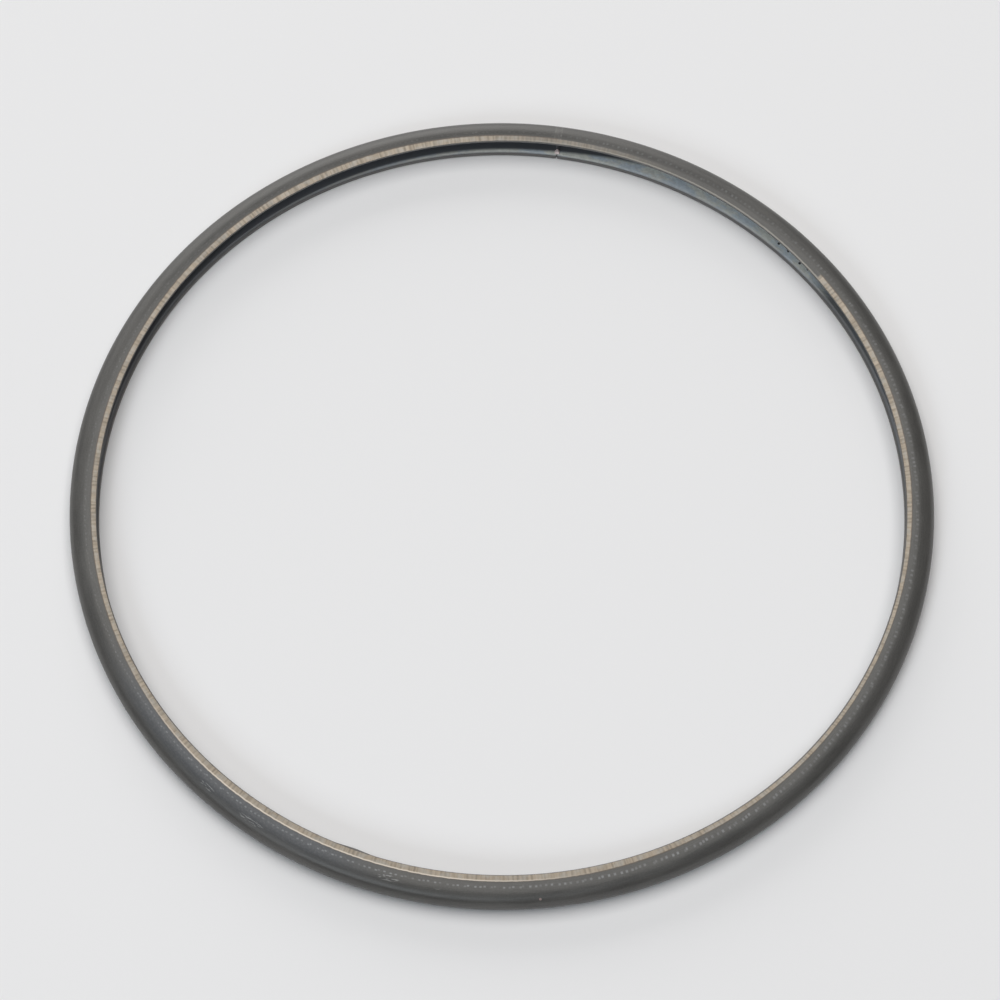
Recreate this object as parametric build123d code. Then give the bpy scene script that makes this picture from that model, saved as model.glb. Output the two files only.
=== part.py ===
from build123d import *
import os
from math import asin, cos, degrees, radians, sin

# Metal C-ring face seal.  One strip of spring metal is rolled to a C-shaped section that
# opens towards the axis, bent round to a ring and butt-welded end to end.
# Millimetres and degrees.  The ring lies on its lower crown: the origin is the centre of
# the ring on that resting plane, and +Z is the ring's axis.

# Ring and section
outer_diameter = 90.0  # across the bend, the widest part of the ring
section_height = 3.2  # free height, from the lower crown to the upper one
section_depth = 2.98  # radial depth, from the bend to the edges of the lips
crown_depth = 2.13  # radial depth of the highest line of the section, the sealing line
bend_sweep = 55.4  # how far the tight outer bend turns, above and below the mid-plane
strip_thickness = 0.38
edge_break = 0.05  # bevel that breaks the corners of the strip's two cut edges

# Butt weld: ground flush outside, with its root bead left standing inside the C
weld_bearing = 83.0  # direction of the weld about the axis, from +X towards +Y
bead_width = 0.36
bead_height = 0.12  # how far the bead stands out of the inner face
bead_bevel = 0.10  # the bead's sloping shoulders
bead_stop = 0.40  # bare length between each end of the bead and the lip's edge
same_radius = 0.01  # two arcs this close in radius are the same one
blob_radius = 0.25  # drop of weld metal at the bead's lower end
notch_width = 0.10  # unfilled gap where the weld line meets the lower lip's edge
notch_length = 0.20

# Nick where a blow has pushed the upper lip's edge inwards
nick_bearing = 250.75
nick_length = 3.3  # along the edge
nick_depth = 0.16  # how far the edge stands out of its circle
nick_root = 0.25  # how far the pushed metal reaches back into the lip

# The outer face of the C is three arcs in line with each other: the bend and two crowns.
# Each crown's top lies crown_depth in from the bend, and that with the height and the
# sweep of the bend fixes both radii.
outer_radius = outer_diameter / 2
half_height = section_height / 2
sweep_sin, sweep_cos = sin(radians(bend_sweep)), cos(radians(bend_sweep))
tangency = 1 - sweep_sin - sweep_cos
bend_radius = (crown_depth * (1 - sweep_sin) - half_height * sweep_cos) / tangency
crown_radius = (half_height * (1 - sweep_cos) - crown_depth * sweep_sin) / tangency
bend_centre = (outer_radius - bend_radius, half_height)
sealing_radius = outer_radius - crown_depth
upper_centre = (sealing_radius, section_height - crown_radius)
lower_centre = (sealing_radius, crown_radius)
edge_radius = outer_radius - section_depth


def lip_turn(depth):
    """Angle past the crown at which the outer face reaches this radial depth."""
    return degrees(asin((depth - crown_depth) / crown_radius))


def c_arcs(inset, turn):
    """Lower crown, bend and upper crown, this far inside the outer face.

    The lips run on for the given turn past the crowns.
    """
    crown_arc = crown_radius - inset
    crown_sweep = 90 + turn - bend_sweep
    return (
        CenterArc(lower_centre, crown_arc, -90 - turn, crown_sweep),
        CenterArc(bend_centre, bend_radius - inset, -bend_sweep, 2 * bend_sweep),
        CenterArc(upper_centre, crown_arc, bend_sweep, crown_sweep),
    )


def c_section(outer_inset, inner_inset, turn):
    """The C between two insets, its ends square to the strip."""
    with BuildSketch(Plane.XZ) as section:
        with BuildLine():
            outside = c_arcs(outer_inset, turn)
            inside = c_arcs(inner_inset, turn)
            Line(outside[0] @ 0, inside[0] @ 0)
            Line(outside[2] @ 1, inside[2] @ 1)
        make_face()
    return section.sketch


def rolled_ring():
    """The strip's section, with broken edges, turned once about the axis."""
    section = c_section(0, strip_thickness, lip_turn(section_depth))
    lip_corners = section.vertices().sort_by(Axis.X)[:4]
    return revolve(chamfer(lip_corners, edge_break), axis=Axis.Z)


def weld_bead():
    """The root bead across the inner face, with a drop of metal at its lower end."""
    turn = lip_turn(section_depth) - degrees(bead_stop / crown_radius)
    crest_inset = strip_thickness + bead_height
    width_turn = degrees(bead_width / sealing_radius)
    section = c_section(strip_thickness / 2, crest_inset, turn)
    bead = revolve(section, axis=Axis.Z, revolution_arc=width_turn)
    bead = Rot(0, 0, -width_turn / 2) * bead
    crest_radii = (crown_radius - crest_inset, bend_radius - crest_inset)
    shoulders = [
        edge
        for edge in bead.edges().filter_by(GeomType.CIRCLE)
        if any(abs(edge.radius - radius) < same_radius for radius in crest_radii)
    ]
    bead = chamfer(shoulders, bead_bevel)
    lower_end = c_arcs(strip_thickness, turn)[0] @ 0
    blob = Pos(lower_end.X, 0, lower_end.Y) * Sphere(blob_radius)
    return Rot(0, 0, weld_bearing) * (bead + blob)


def weld_notch():
    """The unfilled end of the weld line, a slot in from the lower lip's edge."""
    slot = Box(2 * notch_length, notch_width, half_height)
    return Rot(0, 0, weld_bearing) * Pos(edge_radius, 0, half_height / 2) * slot


def pushed_lip():
    """The stretch of upper lip that a blow has pushed out of the edge's circle."""
    root_turn = lip_turn(section_depth - nick_root)
    reach = lip_turn(section_depth + nick_depth) - root_turn
    with BuildSketch(Plane.XZ) as strip:
        with BuildLine():
            face = CenterArc(upper_centre, crown_radius, 90 + root_turn, reach)
            back = CenterArc(upper_centre, crown_radius - strip_thickness, 90 + root_turn, reach)
            Line(face @ 0, back @ 0)
            Line(face @ 1, back @ 1)
        make_face()
    lip = revolve(strip.sketch, axis=Axis.Z)
    # The swell's outline is an arc through the ends of the nick and its furthest point.
    bow = nick_depth + nick_length**2 / (8 * edge_radius)
    swell_radius = nick_length**2 / (8 * bow) + bow / 2
    swell = Pos(edge_radius - nick_depth + swell_radius, 0, 0)
    swell *= Cylinder(swell_radius, 2 * section_height)
    return Rot(0, 0, nick_bearing) * (lip & swell)


seal_ring = rolled_ring() + weld_bead() - weld_notch() + pushed_lip()

os.makedirs("parts", exist_ok=True)
export_step(seal_ring, "parts/seal_ring.step")
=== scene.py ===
import math

import bmesh
import bpy
from mathutils import Matrix, Vector


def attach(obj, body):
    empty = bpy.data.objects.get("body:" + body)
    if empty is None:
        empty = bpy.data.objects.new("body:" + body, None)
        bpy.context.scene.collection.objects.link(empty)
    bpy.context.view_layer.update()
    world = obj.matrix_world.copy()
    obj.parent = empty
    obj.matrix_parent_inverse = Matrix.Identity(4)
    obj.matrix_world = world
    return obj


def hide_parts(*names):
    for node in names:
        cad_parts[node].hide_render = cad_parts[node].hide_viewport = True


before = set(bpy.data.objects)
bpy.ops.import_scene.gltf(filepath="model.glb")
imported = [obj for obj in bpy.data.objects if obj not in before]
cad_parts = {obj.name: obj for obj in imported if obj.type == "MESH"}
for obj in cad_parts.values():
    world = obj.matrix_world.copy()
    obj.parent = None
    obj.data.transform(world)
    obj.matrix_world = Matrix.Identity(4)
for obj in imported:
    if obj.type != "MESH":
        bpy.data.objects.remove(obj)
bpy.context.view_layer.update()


# ---------------------------------------------------------------------------
# The ring: thin spring-metal strip, rolled to a C-shaped section that opens
# towards the axis, bent round and butt-welded.  The section is drawn once and
# spun; then each cross-section is set to the trim that the lips have there.
# ---------------------------------------------------------------------------

mm = 0.001
outer_radius = 45.0
section_height = 3.2
crown_depth = 2.13
bend_sweep = 55.4
bend_radius = 1.3602
crown_radius = 2.7158
strip_thickness = 0.38
weld_bearing = 82.4

half_height = section_height / 2
bend_start_depth = bend_radius * (1 - math.cos(math.radians(bend_sweep)))


def around(table, bearing):
    """Smooth value, at a bearing in degrees, of a table with even steps right round."""
    place = (bearing % 360.0) / 360.0 * len(table)
    low = int(place) % len(table)
    t = place - int(place)
    before, here, after, beyond = (table[(low + k) % len(table)] for k in (-1, 0, 1, 2))
    return here + 0.5 * t * (
        after - before
        + t * (2 * before - 5 * here + 4 * after - beyond + t * (3 * (here - after) + beyond - before))
    )


# Depths in mm from the outer edge, every 15 degrees from +X towards +Y: the edge of the
# upper lip, and the outer and inner borders of the bright band that runs along it.
lip_edge = (
    3.05, 3.05, 3.05, 3.00, 2.91, 2.88, 2.93, 2.99, 3.00, 2.99, 2.98, 2.97,
    2.95, 2.91, 2.98, 3.05, 3.10, 3.14, 3.13, 3.07, 2.97, 2.925, 2.925, 2.95,
)
band_outer = (
    2.43, 2.42, 2.38, 2.33, 2.30, 2.28, 2.25, 2.27, 2.30, 2.31, 2.365, 2.355,
    2.33, 2.315, 2.31, 2.27, 2.33, 2.375, 2.38, 2.31, 2.32, 2.36, 2.41, 2.43,
)
band_inner = (
    2.91, 2.93, 2.93, 2.88, 2.78, 2.765, 2.80, 2.88, 2.885, 2.875, 2.87, 2.86,
    2.83, 2.78, 2.85, 2.93, 2.99, 3.03, 3.02, 2.95, 2.83, 2.76, 2.77, 2.79,
)
dent_line = (
    1.88, 1.88, 1.86, 1.85, 1.80, 1.77, 1.79, 1.83, 1.86, 1.87, 1.88, 1.83,
    1.74, 1.71, 1.80, 1.80, 1.78, 1.77, 1.76, 1.69, 1.675, 1.70, 1.73, 1.80,
)
least_border = 0.09  # the band never comes closer than this to the upper lip's edge
lower_lip_edge = 2.98
nick_bearing, nick_length, nick_depth = 249.8, 4.6, 0.15
notch_half_width, notch_length = 0.06, 0.2


def nick_at(bearing):
    """How far the blow has pushed the upper lip's edge inwards here."""
    along = math.radians(bearing - nick_bearing) * (outer_radius - lower_lip_edge)
    if abs(along) > nick_length / 2:
        return 0.0
    return nick_depth * 0.5 * (1 + math.cos(2 * math.pi * along / nick_length))


# Rows of the section, from the lower lip's edge over the outside to the upper lip's edge and
# back along the inside.  Each row names its stretch of the section and its place along that
# stretch, from 0 to 1.
corner_radius = 0.05
dome_stop = 0.05  # the dome's rows end this far short of the sealing line
step_before, step_after = 0.02, 0.03  # width of the small step down to the bright band
band_step = 0.012  # depth of that step
rows = []
for k in range(8):
    rows.append(("lower crown", 1 - k / 7))
for k in range(1, 12):
    rows.append(("bend", k / 12))
for k in range(11):
    rows.append(("dome", k / 10))
for k in range(1, 4):
    rows.append(("crown top", k / 4))
rows.append(("band start", 0))
rows.append(("band start", 1))
for k in range(1, 5):
    rows.append(("band", k / 4))
for k in range(1, 4):
    rows.append(("upper corner", k / 3))
for k in range(3):
    rows.append(("upper inner corner", k / 2))
for k in range(1, 6):
    rows.append(("upper inside", k / 5))
for k in range(1, 8):
    rows.append(("inner bend", k / 7))
for k in range(1, 7):
    rows.append(("lower inside", k / 6))
for k in range(3):
    rows.append(("lower inner corner", k / 2))
for k in range(2):
    rows.append(("lower corner", k / 2))


def outer_height(depth):
    """Height of the upper outside face above the mid-plane at this depth."""
    if depth < bend_start_depth:
        return math.sqrt(max(0.0, bend_radius**2 - (bend_radius - depth) ** 2))
    return half_height - crown_radius + math.sqrt(crown_radius**2 - (depth - crown_depth) ** 2)


def crown_point(turn, inset):
    """Depth and height above the mid-plane, this angle past the crown's top."""
    radius = crown_radius - inset
    return crown_depth + radius * math.sin(turn), half_height - crown_radius + radius * math.cos(turn)


def lip_point(depth_edge, inset, back):
    """A point near a lip's end: inset from the outside, and back from its cut face."""
    turn = math.asin((depth_edge - crown_depth) / crown_radius)
    depth, height = crown_point(turn, inset)
    return depth - back * math.cos(turn), height + back * math.sin(turn)


def corner_point(depth_edge, place, inner):
    """The small rounding between a face and the cut edge."""
    angle = place * math.pi / 2
    side = corner_radius * (1 - math.sin(angle)) if inner else corner_radius * (1 - math.cos(angle))
    back = corner_radius * (1 - math.cos(angle)) if inner else corner_radius * (1 - math.sin(angle))
    inset = strip_thickness - side if inner else side
    return lip_point(depth_edge, inset, back)


def row_point(row, bearing):
    """Depth from the outer edge and height above the mid-plane of a row at a bearing."""
    stretch, place = row
    edge = around(lip_edge, bearing) + nick_at(bearing)
    outer_border = around(band_outer, bearing)
    inner_border = min(around(band_inner, bearing), edge - least_border)
    low_edge = lower_lip_edge
    along = math.radians((bearing - weld_bearing + 180) % 360 - 180) * (outer_radius - lower_lip_edge)
    if abs(along) < notch_half_width:
        low_edge -= notch_length
    tangent = math.radians(90 - bend_sweep)
    upper_turn = math.asin((edge - crown_depth) / crown_radius)
    lower_turn = math.asin((low_edge - crown_depth) / crown_radius)
    if stretch == "bend":
        angle = math.radians(-bend_sweep + 2 * bend_sweep * place)
        return bend_radius * (1 - math.cos(angle)), bend_radius * math.sin(angle)
    if stretch == "inner bend":
        angle = math.radians(bend_sweep - 2 * bend_sweep * place)
        radius = bend_radius - strip_thickness
        return bend_radius - radius * math.cos(angle), radius * math.sin(angle)
    if stretch == "dome":
        depth = bend_start_depth + (crown_depth - dome_stop - bend_start_depth) * place
        return depth, outer_height(depth)
    if stretch == "crown top":
        start = crown_depth - dome_stop
        depth = start + (outer_border - step_after - start) * place
        return depth, outer_height(depth)
    if stretch == "band start":
        depth = outer_border - step_before + (step_before + step_after) * place
        return depth, outer_height(depth) - band_step * place
    if stretch == "band":
        start = outer_border + step_after
        depth = start + (inner_border - start) * place
        return depth, outer_height(depth) - band_step
    if stretch == "upper corner":
        return corner_point(edge, place, False)
    if stretch == "upper inner corner":
        return corner_point(edge, place, True)
    if stretch == "upper inside":
        end = upper_turn - corner_radius / crown_radius
        return crown_point(end - (end + tangent) * place, strip_thickness)
    if stretch == "lower inside":
        end = lower_turn - corner_radius / crown_radius
        depth, height = crown_point(-tangent + (end + tangent) * place, strip_thickness)
        return depth, -height
    if stretch == "lower inner corner":
        depth, height = corner_point(low_edge, 1 - place, True)
        return depth, -height
    if stretch == "lower corner":
        depth, height = corner_point(low_edge, 1 - place, False)
        return depth, -height
    end = lower_turn - corner_radius / crown_radius
    depth, height = crown_point(-tangent + (end + tangent) * place, 0.0)
    return depth, -height


# Cross-sections right round, spun in equal sectors; those beside the weld are then brought close
# together, so that the notch in the lower lip has sharp sides.
steps_round, sectors = 1430, 22
fine_steps, fine_length = 10, 0.05


def bearing_of(step):
    """Bearings of the cross-sections: even, but close together beside the weld."""
    fine_turn = math.degrees(fine_length / (outer_radius - lower_lip_edge))
    if step <= fine_steps:
        return weld_bearing + step * fine_turn
    if step >= steps_round - fine_steps:
        return weld_bearing + 360 - (steps_round - step) * fine_turn
    coarse = (360 - 2 * fine_steps * fine_turn) / (steps_round - 2 * fine_steps)
    return weld_bearing + fine_steps * fine_turn + (step - fine_steps) * coarse


ring_mesh = bpy.data.meshes.new("seal_ring_strip")
ring = bpy.data.objects.new("seal_ring_strip", ring_mesh)
bpy.context.collection.objects.link(ring)
bm = bmesh.new()
row_layer = bm.verts.layers.int.new("row")
step_layer = bm.verts.layers.int.new("step")
across = bm.verts.layers.float.new("across")
band_place = bm.verts.layers.float.new("band_place")
dent_place = bm.verts.layers.float.new("dent_place")
inward = bm.verts.layers.float.new("inward")
profile = []
for number, row in enumerate(rows):
    depth, height = row_point(row, 0.0)
    vertex = bm.verts.new(((outer_radius - depth) * mm, 0.0, (half_height + height) * mm))
    vertex[row_layer] = number
    profile.append(vertex)
edges = [bm.edges.new((a, b)) for a, b in zip(profile, profile[1:] + profile[:1])]
sector_turn = 2 * math.pi / sectors
bmesh.ops.spin(
    bm,
    geom=profile + edges,
    cent=(0, 0, 0),
    axis=(0, 0, 1),
    angle=sector_turn,
    steps=steps_round // sectors,
    use_duplicate=False,
)
sector = bm.verts[:] + bm.edges[:] + bm.faces[:]
for number in range(1, sectors):
    copied = bmesh.ops.duplicate(bm, geom=sector)["geom"]
    turned = [item for item in copied if isinstance(item, bmesh.types.BMVert)]
    turn = Matrix.Rotation(number * sector_turn, 3, "Z")
    bmesh.ops.rotate(bm, cent=(0, 0, 0), matrix=turn, verts=turned)
bmesh.ops.remove_doubles(bm, verts=bm.verts, dist=0.002 * mm)
bmesh.ops.recalc_face_normals(bm, faces=bm.faces)

# 0 on the outside, 1 on the inside and 0.5 on the cut edges between them
inside_share = {
    "lower crown": 0, "bend": 0, "dome": 0, "crown top": 0, "band start": 0, "band": 0,
    "upper corner": 0.5, "upper inner corner": 0.5, "upper inside": 1, "inner bend": 1,
    "lower inside": 1, "lower inner corner": 0.5, "lower corner": 0.5,
}
for vertex in bm.verts:
    turn = math.degrees(math.atan2(vertex.co.y, vertex.co.x)) % 360
    step = round(turn / 360 * steps_round) % steps_round
    bearing = bearing_of(step)
    row = rows[vertex[row_layer]]
    depth, height = row_point(row, bearing)
    radius = (outer_radius - depth) * mm
    angle = math.radians(bearing)
    vertex.co = (radius * math.cos(angle), radius * math.sin(angle), (half_height + height) * mm)
    border, inner = around(band_outer, bearing), around(band_inner, bearing)
    vertex[across] = depth
    vertex[step_layer] = step
    vertex[inward] = inside_share[row[0]]
    vertex[band_place] = (depth - border) / (inner - border)
    vertex[dent_place] = depth - around(dent_line, bearing)

# Lengths along the ring and across the strip, in mm, laid flat for the finishes
uv = bm.loops.layers.uv.new("strip")
girth = [0.0]
for a, b in zip(rows, rows[1:] + rows[:1]):
    da, ha = row_point(a, 0.0)
    db, hb = row_point(b, 0.0)
    girth.append(girth[-1] + math.hypot(db - da, hb - ha))
for face in bm.faces:
    face.smooth = True
    seam = any(loop.vert[step_layer] > steps_round / 2 for loop in face.loops)
    wrap = any(loop.vert[row_layer] > len(rows) / 2 for loop in face.loops)
    for loop in face.loops:
        step, number = loop.vert[step_layer], loop.vert[row_layer]
        if step == 0 and seam:
            step = steps_round
        turn = bearing_of(step) - weld_bearing
        length = girth[len(rows)] if number == 0 and wrap else girth[number]
        loop[uv].uv = (math.radians(turn) * (outer_radius - crown_depth), length)
bm.to_mesh(ring_mesh)
bm.free()
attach(ring, "root")
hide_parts("seal_ring")


# What the strip looks like is worked out from lengths in mm: along the ring from the weld,
# across the strip, and the depth in from the ring's outer edge.
def add(tree, kind, **settings):
    """A shader node; settings named like its sockets are linked or set, the rest are options."""
    node = tree.nodes.new(kind)
    for name, value in settings.items():
        if name.startswith("opt_"):
            setattr(node, name[4:], value)
    for name, value in settings.items():
        if name.startswith("opt_"):
            continue
        key = int(name[1:]) if name[0] == "s" and name[1:].isdigit() else name.replace("_", " ")
        if isinstance(value, bpy.types.NodeSocket):
            tree.links.new(value, node.inputs[key])
        else:
            node.inputs[key].default_value = value
    return node


def maths(tree, operation, a, b=0.0, c=0.0):
    """One sum on numbers or sockets."""
    return add(tree, "ShaderNodeMath", opt_operation=operation, s0=a, s1=b, s2=c).outputs[0]


def ramp(tree, value, low, high, start=0.0, end=1.0):
    """Runs smoothly from start to end as value goes from low to high."""
    node = add(
        tree, "ShaderNodeMapRange", opt_interpolation_type="SMOOTHSTEP",
        Value=value, From_Min=low, From_Max=high, To_Min=start, To_Max=end,
    )
    return node.outputs["Result"]


def blend_colour(tree, amount, first, second):
    """Colour between two colours."""
    node = add(tree, "ShaderNodeMix", opt_data_type="RGBA", s0=amount, s6=first, s7=second)
    return node.outputs[2]


def scaled(tree, colour, amount):
    """A colour made lighter or darker by a number."""
    if not isinstance(colour, bpy.types.NodeSocket):
        colour = colour[:3]
    return add(tree, "ShaderNodeVectorMath", opt_operation="SCALE", s0=colour, Scale=amount).outputs[0]


def new_look(name):
    """An empty node group that gives a colour, a roughness and a height in mm."""
    tree = bpy.data.node_groups.new(name, "ShaderNodeTree")
    for socket, kind in (("Color", "Color"), ("Roughness", "Float"), ("Height", "Float")):
        tree.interface.new_socket(socket, in_out="OUTPUT", socket_type="NodeSocket" + kind)
    return tree, tree.nodes.new("NodeGroupOutput")


def lengths(tree):
    """Length along the ring, length across the strip and depth from the outer edge."""
    flat = add(tree, "ShaderNodeUVMap", opt_uv_map="strip").outputs[0]
    parts = add(tree, "ShaderNodeSeparateXYZ", Vector=flat)
    depth = add(tree, "ShaderNodeAttribute", opt_attribute_name="across").outputs["Fac"]
    return parts.outputs[0], parts.outputs[1], depth


def grain(tree, x, y, x_scale, y_scale, detail=3.0, rough=0.55):
    """Noise stretched by its own scale along and across, centred on 0.5."""
    place = add(
        tree, "ShaderNodeCombineXYZ",
        X=maths(tree, "MULTIPLY", x, x_scale), Y=maths(tree, "MULTIPLY", y, y_scale),
    )
    noise = add(
        tree, "ShaderNodeTexNoise", opt_noise_dimensions="2D",
        Vector=place.outputs[0], Scale=1.0, Detail=detail, Roughness=rough,
    )
    return noise.outputs[0]


def spot(tree, x, y, centre_x, centre_y, half_x, half_y):
    """1 inside a soft oval, 0 outside it."""
    dx = maths(tree, "DIVIDE", maths(tree, "SUBTRACT", x, centre_x), half_x)
    dy = maths(tree, "DIVIDE", maths(tree, "SUBTRACT", y, centre_y), half_y)
    far = maths(tree, "ADD", maths(tree, "MULTIPLY", dx, dx), maths(tree, "MULTIPLY", dy, dy))
    return ramp(tree, far, 0.45, 1.0, 1.0, 0.0)


full_length = 2 * math.pi * (outer_radius - crown_depth)


def from_weld(bearing):
    """Length along the ring from the weld to a bearing in degrees."""
    return ((bearing - weld_bearing) % 360) / 360 * full_length


# The coating: dark warm grey with faint rolling lines, a scuffed stretch at the front left with a
# painted bluish sheen, a row of small dents with painted glints, a few scratches and the ground-off
# weld.
coat_colour, coat_roughness = (0.100, 0.097, 0.091, 1), 0.46
# The scuffed stretch's bluish colour is a painted sheen; its light specks are wear.
scuff_sheen_colour, scuff_speck_colour = (0.095, 0.103, 0.115, 1), (0.55, 0.57, 0.60, 1)
# The dents' light colour is a painted glint; their depth is real.
dent_glint_colour, dent_pitch, dent_depth = (0.62, 0.64, 0.66, 1), 0.56, 0.012
scratch_colour, scratch_depth = (0.65, 0.65, 0.64, 1), 0.006
pit_colour, pit_bearing = (0.42, 0.30, 0.28, 1), 275.4
ground_colour = (0.52, 0.49, 0.46, 1)
coating, result = new_look("dark coating")
along, over, depth = lengths(coating)
cloud = grain(coating, along, over, 0.12, 0.5, 2.0)
lines = grain(coating, along, over, 0.6, 9.0, 3.0)
speck = grain(coating, along, over, 5.0, 5.0, 4.0, 0.7)
tone = maths(
    coating, "ADD",
    ramp(coating, cloud, 0.3, 0.7, 0.90, 1.08), ramp(coating, lines, 0.3, 0.7, -0.06, 0.06),
)
tone = maths(coating, "ADD", tone, ramp(coating, speck, 0.3, 0.7, -0.07, 0.07))
colour = scaled(coating, coat_colour, tone)
scuffed = maths(
    coating, "MULTIPLY",
    ramp(coating, along, from_weld(200), from_weld(218)),
    ramp(coating, along, from_weld(245), from_weld(257), 1.0, 0.0),
)
scuff_grain = ramp(coating, grain(coating, along, over, 3.6, 4.2, 4.0, 0.7), 0.45, 0.66)
scuff_low = ramp(coating, depth, 0.5, 1.3)
scuff_and_sheen = maths(coating, "MULTIPLY", scuffed, scuff_low)
# Scuffed stretch: a painted bluish sheen blended over the coating, with wear specks and a little more
# roughness.
colour = blend_colour(coating, maths(coating, "MULTIPLY", scuff_and_sheen, 0.55), colour, scuff_sheen_colour)
scuff_specks = maths(coating, "MULTIPLY", scuff_and_sheen, maths(coating, "MULTIPLY", scuff_grain, 0.05))
colour = blend_colour(coating, scuff_specks, colour, scuff_speck_colour)

# The dents stand in one row, an uneven step apart, and are longer on the right-hand side; their light
# colour is a painted glint.
dents = add(
    coating, "ShaderNodeTexVoronoi", opt_voronoi_dimensions="1D",
    W=maths(coating, "DIVIDE", along, dent_pitch), Scale=1.0, Randomness=0.75,
)
chance = add(coating, "ShaderNodeSeparateColor", Color=dents.outputs["Color"])
near = ramp(coating, dents.outputs["Distance"], 0.10, 0.30, 1.0, 0.0)
offset = add(coating, "ShaderNodeAttribute", opt_attribute_name="dent_place").outputs["Fac"]
jitter = maths(coating, "MULTIPLY_ADD", chance.outputs[0], 0.12, -0.06)
away = maths(coating, "ABSOLUTE", maths(coating, "ADD", offset, jitter))
long_dents = ramp(coating, along, from_weld(255), from_weld(300))
half_height_of_dent = maths(coating, "MULTIPLY_ADD", long_dents, 0.10, 0.11)
level = ramp(coating, maths(coating, "DIVIDE", away, half_height_of_dent), 0.3, 1.0, 1.0, 0.0)
strength = maths(coating, "MULTIPLY_ADD", chance.outputs[1], 0.7, 0.3)
dent = maths(coating, "MULTIPLY", maths(coating, "MULTIPLY", near, level), strength)
# Painted glint: how much of the light glint colour the dents take, strongest along the front.
dent_glint_strength = maths(
    coating, "MULTIPLY",
    ramp(coating, along, from_weld(195), from_weld(235), 0.07, 0.30),
    ramp(coating, along, from_weld(285), from_weld(330), 0.8, 0.35),
)
colour = blend_colour(coating, maths(coating, "MULTIPLY", dent, dent_glint_strength), colour, dent_glint_colour)

scratch_grain = ramp(coating, grain(coating, along, over, 1.3, 9.0, 2.0), 0.54, 0.62)
scratch_patches = (
    # bearing, depth from the outer edge, half length and half width in mm
    (235.6, 0.95, 1.6, 0.30),
    (228.0, 1.0, 1.1, 0.25),
    (255.4, 1.30, 1.2, 0.35),
    (262.0, 1.2, 0.5, 0.1),
)
scratches = 0.0
for bearing, centre, half_long, half_wide in scratch_patches:
    patch = spot(coating, along, depth, from_weld(bearing), centre, half_long, half_wide)
    scratches = maths(coating, "ADD", scratches, patch)
scratches = maths(coating, "MULTIPLY", scratches, scratch_grain)
colour = blend_colour(coating, maths(coating, "MULTIPLY", scratches, 0.3), colour, scratch_colour)
pit = spot(coating, along, depth, from_weld(pit_bearing), 0.52, 0.15, 0.12)
colour = blend_colour(coating, maths(coating, "MULTIPLY", pit, 0.7), colour, pit_colour)

# The weld was ground flush; what shows is a faint patch with a thin light line down each side.
from_seam = maths(coating, "MINIMUM", along, maths(coating, "SUBTRACT", full_length, along))
ragged = maths(coating, "MULTIPLY_ADD", grain(coating, along, over, 2.0, 4.0), 0.20, -0.10)
from_seam = maths(coating, "ADD", from_seam, ragged)
ground = ramp(coating, from_seam, 0.22, 0.44, 0.05, 0.0)
rim = maths(
    coating, "MULTIPLY",
    ramp(coating, from_seam, 0.26, 0.34), ramp(coating, from_seam, 0.34, 0.42, 0.13, 0.0),
)
worn_spots = ramp(coating, grain(coating, along, over, 3.0, 2.0, 3.0), 0.35, 0.6, 0.2, 1.0)
ground = maths(coating, "MULTIPLY", maths(coating, "ADD", ground, rim), worn_spots)
colour = blend_colour(coating, ground, colour, ground_colour)
height = maths(coating, "MULTIPLY", dent, -dent_depth)
height = maths(coating, "ADD", height, maths(coating, "MULTIPLY", speck, 0.004))
height = maths(coating, "ADD", height, maths(coating, "MULTIPLY", scratches, -scratch_depth))
coating.links.new(colour, result.inputs["Color"])
roughness = maths(
    coating, "ADD",
    ramp(coating, cloud, 0.3, 0.7, coat_roughness - 0.03, coat_roughness + 0.03),
    maths(coating, "MULTIPLY", scuff_and_sheen, 0.06),
)
coating.links.new(roughness, result.inputs["Roughness"])
coating.links.new(height, result.inputs["Height"])

# The band along the upper lip, worn or lapped to bright warm metal, with short lines
# across it where the strip was sheared.
band_colour, band_grey, band_roughness = (0.345, 0.29, 0.225, 1), (0.36, 0.35, 0.32, 1), 0.48
shear_pitch = 0.46
band, result = new_look("bare band")
along, over, depth = lengths(band)
shears = add(
    band, "ShaderNodeTexVoronoi", opt_voronoi_dimensions="1D",
    W=maths(band, "MULTIPLY_ADD", over, 0.15, maths(band, "DIVIDE", along, shear_pitch)),
    Scale=1.0, Randomness=0.6,
)
chance = add(band, "ShaderNodeSeparateColor", Color=shears.outputs["Color"])
shear = ramp(band, shears.outputs["Distance"], 0.08, 0.34, 1.0, 0.0)
shear = maths(band, "MULTIPLY", shear, chance.outputs[0])
ticks = maths(band, "MULTIPLY_ADD", shear, -0.45, grain(band, along, over, 5.0, 0.35, 3.0, 0.6))
wide_ticks = grain(band, along, over, 0.55, 0.2, 2.0)
tone = maths(
    band, "ADD",
    ramp(band, ticks, 0.1, 0.66, 0.74, 1.08), ramp(band, wide_ticks, 0.3, 0.7, -0.05, 0.05),
)
colour = scaled(band, band_colour, tone)
grey = ramp(band, grain(band, along, over, 0.9, 1.5), 0.4, 0.7, 0.0, 0.5)
colour = blend_colour(band, grey, colour, band_grey)
band.links.new(colour, result.inputs["Color"])
roughness = ramp(band, ticks, 0.3, 0.7, band_roughness + 0.06, band_roughness - 0.04)
band.links.new(roughness, result.inputs["Roughness"])
band.links.new(maths(band, "MULTIPLY", ticks, 0.012), result.inputs["Height"])
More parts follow.
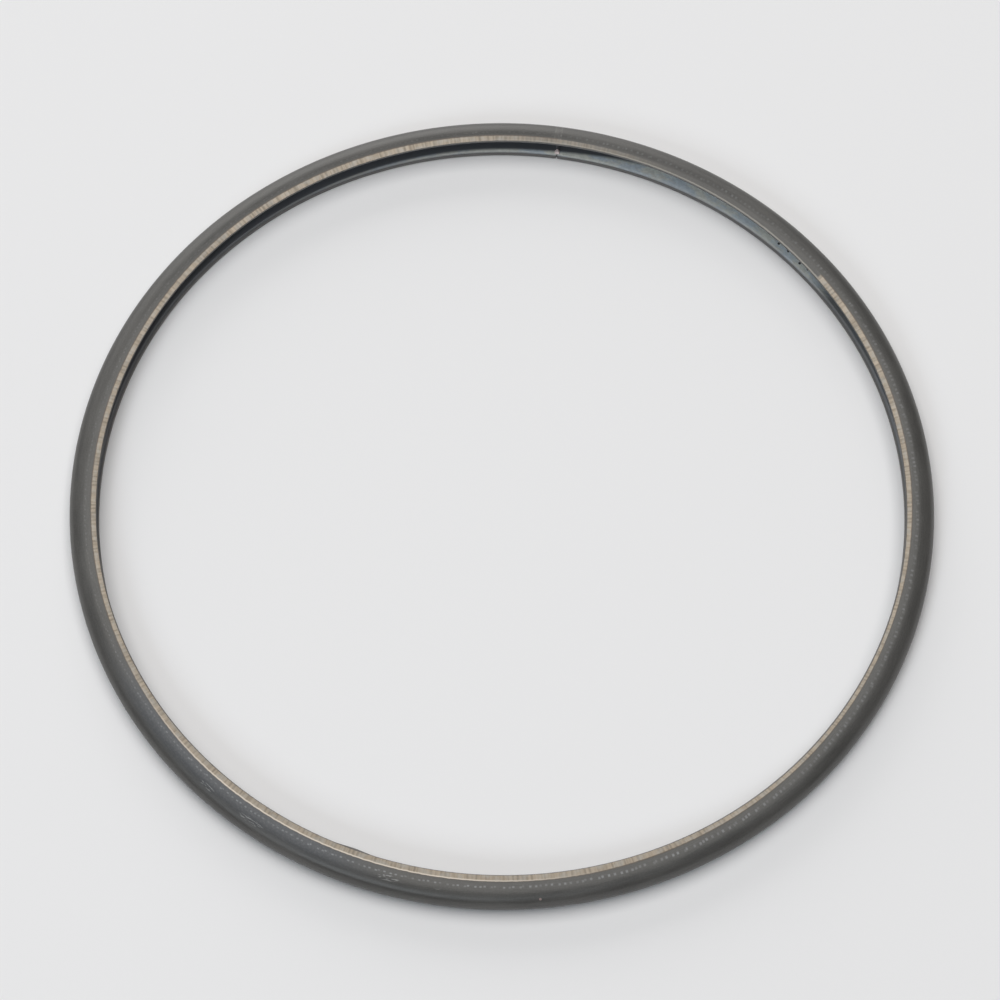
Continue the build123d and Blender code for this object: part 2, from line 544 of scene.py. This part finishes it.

# The inside of the C: painted shade, dark on the left and up in the bend; on the lower face near the
# weld a painted lit wedge, where the strip's own back shows, mottled blue and green.
# The back's mottled blue and green, made pale to stand for the light falling on it: painted light.
lit_back_blue, lit_back_green = (0.78, 0.87, 0.93, 1), (0.93, 0.95, 0.88, 1)
# The hollow colour is painted shade.
hollow_shade_colour, lip_shade = (0.12, 0.125, 0.135, 1), (0.25, 0.25, 0.25, 1)
mark_colour = (0.03, 0.03, 0.035, 1)
inside_low = 12.6  # girth at which the lower inside face begins to show between the lips
inside, result = new_look("strip inside")
along, over, depth = lengths(inside)
patches = grain(inside, along, over, 1.7, 2.2, 4.0, 0.7)
tints = grain(inside, along, over, 0.35, 0.9, 3.0)
colour = blend_colour(inside, ramp(inside, tints, 0.38, 0.62), lit_back_blue, lit_back_green)
colour = scaled(inside, colour, ramp(inside, patches, 0.3, 0.7, 0.86, 1.05))
past_seam = maths(inside, "GREATER_THAN", along, full_length / 2)
near_weld = maths(inside, "SUBTRACT", along, maths(inside, "MULTIPLY", past_seam, full_length))
# Painted light: a lit wedge on the lower face at the back right, widest before the weld and narrowing
# past it; elsewhere the hollow colour gives painted shade.
lit_from = maths(
    inside, "ADD", ramp(inside, near_weld, -18.0, 4.0, inside_low, inside_low + 1.25),
    ramp(inside, near_weld, 4.0, 46.0, 0.0, 0.5),
)
lit_lower_face = ramp(inside, maths(inside, "SUBTRACT", over, lit_from), -0.35, 0.1)
lit_lower_face = maths(inside, "MULTIPLY", lit_lower_face, ramp(inside, near_weld, -36.0, -31.0, 0.10, 1.0))
lit_lower_face = maths(inside, "MULTIPLY", lit_lower_face, ramp(inside, near_weld, 0.0, 50.0, 1.0, 0.1))
colour = blend_colour(inside, lit_lower_face, hollow_shade_colour, colour)
marks = ((46.7, 13.35), (44.9, 13.3), (42.4, 13.45), (40.9, 13.3))  # bearing and girth
for bearing, place in marks:
    mark = spot(inside, along, over, from_weld(bearing), place, 0.16, 0.16)
    colour = blend_colour(inside, mark, colour, mark_colour)
colour = blend_colour(inside, ramp(inside, over, 13.8, 14.1, 0.0, 0.6), colour, lip_shade)
inside.links.new(colour, result.inputs["Color"])
inside.links.new(ramp(inside, patches, 0.3, 0.7, 0.50, 0.36), result.inputs["Roughness"])
inside.links.new(maths(inside, "MULTIPLY", patches, 0.015), result.inputs["Height"])

# The three looks together on the one strip, with the borders of the band between them.
coat_metal, band_metal, inside_metal = 0.3, 0.4, 0.1
border_colour, border_dark = (0.13, 0.10, 0.075, 1), 0.6
# border_highlight_colour is a painted highlight.
border_highlight_colour, lip_line_colour = (0.78, 0.70, 0.60, 1), (0.42, 0.40, 0.35, 1)
lip_dark_colour, cut_edge_colour = (0.12, 0.11, 0.10, 1), (0.16, 0.155, 0.15, 1)
restart_bearing, fade_end_bearing = 37.5, 62
coat = bpy.data.materials.new("coated strip")
coat.use_nodes = True
tree = coat.node_tree
principled = tree.nodes["Principled BSDF"]
along, over, depth = lengths(tree)
place = add(tree, "ShaderNodeAttribute", opt_attribute_name="band_place").outputs["Fac"]
side = add(tree, "ShaderNodeAttribute", opt_attribute_name="inward").outputs["Fac"]
outer_look = add(tree, "ShaderNodeGroup", opt_node_tree=coating)
band_look = add(tree, "ShaderNodeGroup", opt_node_tree=band)
inner_look = add(tree, "ShaderNodeGroup", opt_node_tree=inside)
wander = maths(tree, "MULTIPLY_ADD", grain(tree, along, over, 1.6, 0.0), 0.16, -0.08)
edge_place = maths(tree, "ADD", place, wander)
on_band = maths(
    tree, "MULTIPLY",
    ramp(tree, edge_place, -0.04, 0.08), ramp(tree, edge_place, 1.0, 1.06, 1.0, 0.0),
)
# Past the weld the band fades out, was never bared for a stretch, and starts again abruptly.
unbared = ramp(tree, along, from_weld(restart_bearing), from_weld(restart_bearing + 0.4))
bared = maths(tree, "SUBTRACT", 1.0, unbared)
returning = ramp(tree, along, from_weld(fade_end_bearing), from_weld(weld_bearing - 0.1), 0.0, 0.55)
past_weld = ramp(tree, along, from_weld(weld_bearing), from_weld(100), 0.55, 1.0)
worn = maths(tree, "MAXIMUM", maths(tree, "MULTIPLY", bared, past_weld), returning)
on_band = maths(tree, "MULTIPLY", on_band, worn)
brown = maths(
    tree, "MULTIPLY",
    ramp(tree, edge_place, -0.22, -0.04), ramp(tree, edge_place, 0.02, 0.16, 1.0, 0.0),
)
brown = maths(tree, "MULTIPLY", brown, maths(tree, "MULTIPLY", bared, border_dark))
lip_dark = ramp(tree, edge_place, 1.0, 1.10)
colour = blend_colour(tree, on_band, outer_look.outputs["Color"], band_look.outputs["Color"])
colour = blend_colour(tree, brown, colour, border_colour)
# Painted highlight: a light line along the band's outer border at the front, standing for the light
# that the small step catches there.
border_highlight = maths(
    tree, "MULTIPLY",
    ramp(tree, edge_place, -0.10, 0.0), ramp(tree, edge_place, 0.10, 0.22, 1.0, 0.0),
)
front = maths(
    tree, "MULTIPLY",
    ramp(tree, along, from_weld(200), from_weld(232)),
    ramp(tree, along, from_weld(262), from_weld(290), 1.0, 0.0),
)
border_highlight = maths(tree, "MULTIPLY", border_highlight, front)
colour = blend_colour(tree, maths(tree, "MULTIPLY", border_highlight, 0.75), colour, border_highlight_colour)
lip_line = maths(
    tree, "MULTIPLY",
    ramp(tree, edge_place, 0.70, 0.86), ramp(tree, edge_place, 0.98, 1.06, 1.0, 0.0),
)
not_worn = maths(tree, "SUBTRACT", 0.55, maths(tree, "MULTIPLY", worn, 0.55))
lip_line = maths(tree, "MULTIPLY", lip_line, not_worn)
colour = blend_colour(tree, lip_line, colour, lip_line_colour)
colour = blend_colour(tree, maths(tree, "MULTIPLY", lip_dark, 0.8), colour, lip_dark_colour)
on_edge = ramp(tree, side, 0.15, 0.4)
on_inside = ramp(tree, side, 0.6, 0.9)
colour = blend_colour(tree, on_edge, colour, cut_edge_colour)
colour = blend_colour(tree, on_inside, colour, inner_look.outputs["Color"])


def blend_number(amount, first, second):
    """Number between two numbers."""
    return add(tree, "ShaderNodeMix", s0=amount, s2=first, s3=second).outputs[0]


rough = blend_number(on_band, outer_look.outputs["Roughness"], band_look.outputs["Roughness"])
rough = blend_number(on_inside, rough, inner_look.outputs["Roughness"])
height = blend_number(on_band, outer_look.outputs["Height"], band_look.outputs["Height"])
height = blend_number(on_inside, height, inner_look.outputs["Height"])
bump = add(tree, "ShaderNodeBump", Height=height, Strength=1.0, Distance=0.001)
tree.links.new(colour, principled.inputs["Base Color"])
tree.links.new(rough, principled.inputs["Roughness"])
tree.links.new(bump.outputs["Normal"], principled.inputs["Normal"])
metal = maths(tree, "MAXIMUM", maths(tree, "MULTIPLY", on_band, band_metal), coat_metal)
metal = blend_number(on_inside, metal, inside_metal)
tree.links.new(metal, principled.inputs["Metallic"])
tangent = add(tree, "ShaderNodeTangent", opt_direction_type="UV_MAP", opt_uv_map="strip")
tree.links.new(tangent.outputs[0], principled.inputs["Tangent"])
tree.links.new(blend_number(on_band, 0.75, 0.2), principled.inputs["Anisotropic"])
principled.inputs["Specular IOR Level"].default_value = 0.5
ring_mesh.materials.append(coat)


# ---------------------------------------------------------------------------
# The weld root: the low bead of metal that the butt weld has left standing along the
# inside of the C, with a pinkish drop of filler where it ends near the lower lip.
# ---------------------------------------------------------------------------

bead_half_width, bead_height, bead_stop, bead_root = 0.18, 0.12, 0.40, 0.06
bead_colour, drop_colour = (0.20, 0.20, 0.20, 1), (0.95, 0.80, 0.77, 1)
bead_mesh = bpy.data.meshes.new("weld_root_bead")
bead = bpy.data.objects.new("weld_root_bead", bead_mesh)
bpy.context.collection.objects.link(bead)
inner_line = [
    Vector(row_point(row, weld_bearing + 1.0))
    for row in rows
    if row[0] in ("upper inside", "inner bend", "lower inside")
]
inner_run = [0.0]
for a, b in zip(inner_line, inner_line[1:]):
    inner_run.append(inner_run[-1] + (b - a).length)


def on_inner_line(run):
    """Point of the inner face and the way it faces, this far from the upper lip."""
    for number in range(1, len(inner_run)):
        if run <= inner_run[number] or number == len(inner_run) - 1:
            a, b = inner_line[number - 1], inner_line[number]
            way = (b - a).normalized()
            return a + way * (run - inner_run[number - 1]), Vector((-way.y, way.x))


bm = bmesh.new()
bmesh.ops.create_grid(bm, x_segments=12, y_segments=60, size=1.0)
top = set(bm.verts)
bmesh.ops.extrude_face_region(bm, geom=bm.faces[:])
for vertex in bm.verts:
    x, y = vertex.co.x, vertex.co.y
    run = bead_stop + (y + 1) / 2 * (inner_run[-1] - 2 * bead_stop)
    point, facing = on_inner_line(run)
    wave = 0.02 * math.sin(run * 9.0) + 0.015 * math.sin(run * 23.0)
    full = math.sqrt(max(0.0, 1 - x * x)) * min(1.0, (1 - abs(y)) * 12.0) ** 0.5
    lift = bead_height * full * (1 + wave * 4) - 0.01 if vertex in top else -bead_root
    point = point + facing * lift
    radius = outer_radius - point.x
    angle = math.radians(weld_bearing) + (x * bead_half_width + wave) / radius
    vertex.co = (
        radius * mm * math.cos(angle), radius * mm * math.sin(angle), (half_height + point.y) * mm,
    )
bmesh.ops.recalc_face_normals(bm, faces=bm.faces)
for face in bm.faces:
    face.smooth = True
bm.to_mesh(bead_mesh)
bm.free()

drop_radius, drop_from_lip, drop_lift, drop_flat = 0.27, 0.50, 0.13, 0.85
drop_mesh = bpy.data.meshes.new("weld_drop")
drop = bpy.data.objects.new("weld_drop", drop_mesh)
bpy.context.collection.objects.link(drop)
point, facing = on_inner_line(inner_run[-1] - drop_from_lip)
point = point + facing * drop_lift
bm = bmesh.new()
bmesh.ops.create_icosphere(bm, subdivisions=4, radius=drop_radius * mm)
for vertex in bm.verts:
    x, y, z = vertex.co / mm
    swell = 1 + 0.10 * math.sin(17 * x + 9 * y) + 0.08 * math.sin(21 * z - 13 * y)
    vertex.co = (x * swell * mm, y * swell * mm, z * swell * drop_flat * mm)
radius = outer_radius - point.x
angle = math.radians(weld_bearing)
spot_on_ring = Vector((radius * math.cos(angle), radius * math.sin(angle), half_height + point.y)) * mm
bmesh.ops.translate(bm, verts=bm.verts, vec=spot_on_ring)
for face in bm.faces:
    face.smooth = True
bm.to_mesh(drop_mesh)
bm.free()

for piece, name, tint in ((bead, "weld bead", bead_colour), (drop, "weld drop", drop_colour)):
    filler = bpy.data.materials.new(name)
    filler.use_nodes = True
    tree = filler.node_tree
    principled = tree.nodes["Principled BSDF"]
    place = add(tree, "ShaderNodeTexCoord").outputs["Object"]
    noise = add(tree, "ShaderNodeTexNoise", Vector=place, Scale=6000.0, Detail=3.0).outputs[0]
    tone = ramp(tree, noise, 0.3, 0.7, 0.7, 1.2)
    tree.links.new(scaled(tree, tint, tone), principled.inputs["Base Color"])
    tree.links.new(ramp(tree, noise, 0.3, 0.7, 0.5, 0.3), principled.inputs["Roughness"])
    principled.inputs["Metallic"].default_value = 0.1
    piece.data.materials.append(filler)
    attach(piece, "root")
    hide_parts("seal_ring")


# ---------------------------------------------------------------------------
# The table top: one sheet of plain off-white paper under the ring.
# ---------------------------------------------------------------------------

floor_mesh = bpy.data.meshes.new("paper")
floor = bpy.data.objects.new("paper", floor_mesh)
bpy.context.collection.objects.link(floor)
bm = bmesh.new()
bmesh.ops.create_grid(bm, x_segments=1, y_segments=1, size=3.0)
bm.to_mesh(floor_mesh)
bm.free()
paper = bpy.data.materials.new("paper")
paper.use_nodes = True
sheet = paper.node_tree.nodes["Principled BSDF"]
sheet.inputs["Base Color"].default_value = (0.83, 0.825, 0.825, 1)
sheet.inputs["Roughness"].default_value = 0.9
sheet.inputs["Specular IOR Level"].default_value = 0.2
floor_mesh.materials.append(paper)


# ---------------------------------------------------------------------------
# The lights: soft panels round and above the table.
# ---------------------------------------------------------------------------

world = bpy.data.worlds.new("room")
bpy.context.scene.world = world
world.use_nodes = True
world.node_tree.nodes["Background"].inputs["Color"].default_value = (1, 1, 1, 1)
world.node_tree.nodes["Background"].inputs["Strength"].default_value = 0.07

panels = (
    # name, bearing, elevation, distance in m, width and height in m, watts, colour
    ("overhead_panel", 100, 85, 1.5, 1.6, 1.6, 19.5, (1.0, 0.995, 0.99)),
    ("back_panel", 106, 18, 1.4, 1.7, 0.85, 11.0, (1.0, 0.995, 0.99)),
    ("window_side", 240, 35, 1.4, 0.5, 0.5, 4.5, (0.84, 0.92, 1.0)),
)
for name, bearing, elevation, away_m, width, tall, watts, light_colour in panels:
    lamp = bpy.data.lights.new(name, "AREA")
    lamp.shape = "RECTANGLE"
    lamp.size = width
    lamp.size_y = tall
    lamp.energy = watts
    lamp.color = light_colour
    panel = bpy.data.objects.new(name, lamp)
    bpy.context.collection.objects.link(panel)
    b, e = math.radians(bearing), math.radians(elevation)
    place = away_m * Vector((math.cos(b) * math.cos(e), math.sin(b) * math.cos(e), math.sin(e)))
    panel.location = place
    panel.rotation_euler = (-place).to_track_quat("-Z", "Y").to_euler()


# ---------------------------------------------------------------------------
# The camera stands in front of the ring and looks down on it steeply.
# ---------------------------------------------------------------------------

camera_data = bpy.data.cameras.new("camera")
camera_data.sensor_width = 36.0
camera_data.lens = 154.97
camera_data.clip_start = 0.01
camera_data.clip_end = 20.0
camera = bpy.data.objects.new("camera", camera_data)
bpy.context.collection.objects.link(camera)
stand = Vector((0.0, -0.18915, 0.40832))
aim = Vector((-0.00021, 0.00079, 0.0))
tilt = (aim - stand).to_track_quat("-Z", "Y").to_matrix().to_4x4()
camera.matrix_world = Matrix.Translation(stand) @ tilt @ Matrix.Rotation(math.radians(0.466), 4, "Z")
bpy.context.scene.camera = camera
bpy.context.scene.view_settings.view_transform = "Standard"
